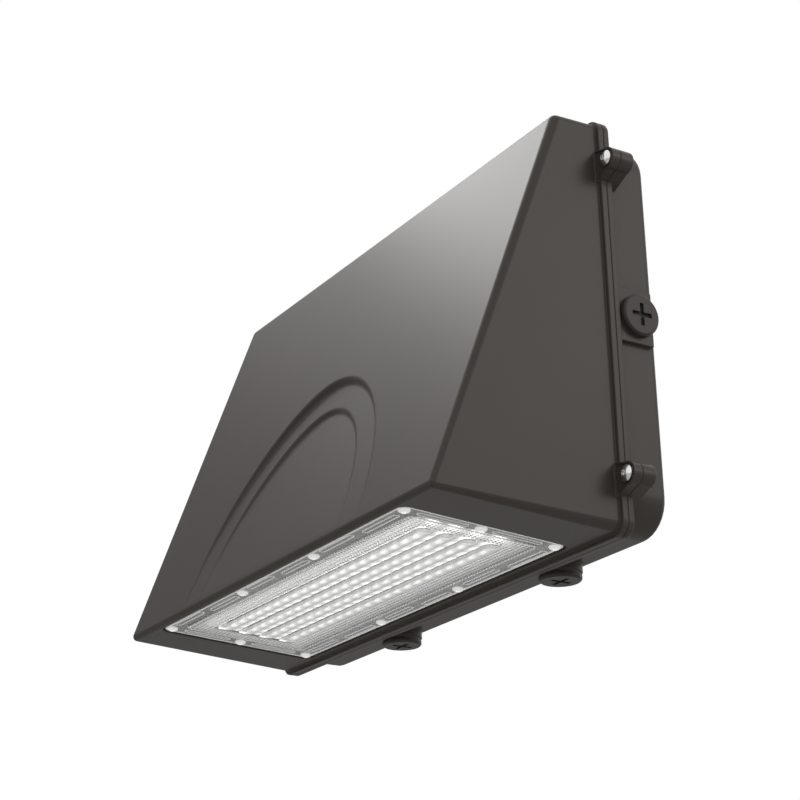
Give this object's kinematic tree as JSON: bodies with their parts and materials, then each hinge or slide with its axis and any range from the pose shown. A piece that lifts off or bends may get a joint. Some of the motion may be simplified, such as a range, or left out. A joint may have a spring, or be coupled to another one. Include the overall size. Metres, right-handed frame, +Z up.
{
  "type": "wall pack light",
  "caption": "Hinged wall pack light: a sloping cast housing with arches, a downward lens over rows of LEDs, on a cast back box with conduit plugs.",
  "frame": {"origin": "on the wall face, at the centre of the four wall bolts", "axes": "X across the light, -Y out from the wall towards the nose, +Z up; the lens faces down"},
  "size_m": [0.3899, 0.1485, 0.2471],
  "materials": {
    "bronze_cast": "dark bronze polyester powder coat, fine satin texture",
    "bronze_plug": "dark bronze powder coat on a cast plug",
    "foam": "closed-cell neoprene foam",
    "silicone": "dark grey moulded silicone",
    "pale_silicone": "pale grey silicone",
    "stainless": "bright stainless steel",
    "zinc_steel": "zinc plated steel",
    "green_screw": "green dyed zinc",
    "lens": "clear moulded polycarbonate",
    "board_white": "white solder mask on an aluminium board",
    "led_yellow": "pale yellow phosphor",
    "pad_grey": "grey silicone thermal pad",
    "driver_case": "plain drawn aluminium case",
    "black_plastic": "black moulded plastic",
    "cream_plastic": "cream polyamide",
    "white_lead": "white PVC sheath",
    "black_lead": "black PVC sheath"
  },
  "bodies": {
    "back_box": {"back_box": "bronze_cast", "wall_seal": "foam", "housing_gasket": "silicone", "hinge_pins": "stainless", "ground_screw": "green_screw"},
    "front_housing": {"front_housing": "bronze_cast", "lens_gasket": "pale_silicone", "lens": "lens", "lens_screws": "stainless", "led_board": "board_white", "leds": "led_yellow", "board_screws": "zinc_steel", "thermal_pad": "pad_grey", "driver_tray": "zinc_steel", "tray_screws": "zinc_steel", "led_driver": "driver_case", "driver_screws": "zinc_steel", "surge_protector": "black_plastic", "surge_screw": "zinc_steel", "terminal_block": "cream_plastic", "terminal_screws": "zinc_steel", "lead_grommet": "silicone", "led_lead": "white_lead", "driver_lead": "black_lead", "surge_lead": "black_lead"},
    "captive_washer_upper": {"captive_washer_upper": "stainless"},
    "captive_screw_upper": {"captive_screw_upper": "stainless"},
    "captive_washer_lower": {"captive_washer_lower": "stainless"},
    "captive_screw_lower": {"captive_screw_lower": "stainless"},
    "plug_ring_side": {"plug_ring_side": "silicone"},
    "plug_side": {"plug_side": "bronze_plug"},
    "plug_ring_bottom_right": {"plug_ring_bottom_right": "silicone"},
    "plug_bottom_right": {"plug_bottom_right": "bronze_plug"},
    "plug_ring_bottom_left": {"plug_ring_bottom_left": "silicone"},
    "plug_bottom_left": {"plug_bottom_left": "bronze_plug"}
  },
  "joints": [
    {"name": "housing_hinge", "type": "hinge", "parent": "back_box", "child": "front_housing", "pos_m": [-0.1884, -0.031, 0], "axis": [0, 0, -1], "range_deg": [0, 100]},
    {"name": "captive_washer_upper_travel", "type": "slide", "parent": "front_housing", "child": "captive_washer_upper", "axis": [0, -1, 0], "range_m": [0, 0.01]},
    {"name": "captive_screw_upper_turn", "type": "hinge", "parent": "captive_washer_upper", "child": "captive_screw_upper", "pos_m": [0.19, -0.0368, 0.092], "axis": [0, -1, 0], "range_deg": [0, 4500]},
    {"name": "captive_washer_lower_travel", "type": "slide", "parent": "front_housing", "child": "captive_washer_lower", "axis": [0, -1, 0], "range_m": [0, 0.01]},
    {"name": "captive_screw_lower_turn", "type": "hinge", "parent": "captive_washer_lower", "child": "captive_screw_lower", "pos_m": [0.19, -0.0368, -0.092], "axis": [0, -1, 0], "range_deg": [0, 4500]},
    {"name": "plug_ring_side_travel", "type": "slide", "parent": "back_box", "child": "plug_ring_side", "axis": [1, 0, 0], "range_m": [0, 0.0127]},
    {"name": "plug_side_turn", "type": "hinge", "parent": "plug_ring_side", "child": "plug_side", "pos_m": [0.182, -0.0145, 0.0045], "axis": [1, 0, 0], "range_deg": [0, 2520.4]},
    {"name": "plug_ring_bottom_right_travel", "type": "slide", "parent": "back_box", "child": "plug_ring_bottom_right", "axis": [0, 0, -1], "range_m": [0, 0.0127]},
    {"name": "plug_bottom_right_turn", "type": "hinge", "parent": "plug_ring_bottom_right", "child": "plug_bottom_right", "pos_m": [0.0995, -0.0145, -0.1215], "axis": [0, 0, -1], "range_deg": [0, 2520.4]},
    {"name": "plug_ring_bottom_left_travel", "type": "slide", "parent": "back_box", "child": "plug_ring_bottom_left", "axis": [0, 0, -1], "range_m": [0, 0.0127]},
    {"name": "plug_bottom_left_turn", "type": "hinge", "parent": "plug_ring_bottom_left", "child": "plug_bottom_left", "pos_m": [-0.0665, -0.0145, -0.1215], "axis": [0, 0, -1], "range_deg": [0, 2520.4]}
  ],
  "couplings": [
    {"joint": "captive_screw_upper_turn", "follows": "captive_washer_upper_travel", "rad_per_m": 7854},
    {"joint": "captive_screw_lower_turn", "follows": "captive_washer_lower_travel", "rad_per_m": 7854},
    {"joint": "plug_side_turn", "follows": "plug_ring_side_travel", "rad_per_m": 3463.7},
    {"joint": "plug_bottom_right_turn", "follows": "plug_ring_bottom_right_travel", "rad_per_m": 3463.7},
    {"joint": "plug_bottom_left_turn", "follows": "plug_ring_bottom_left_travel", "rad_per_m": 3463.7}
  ]
}
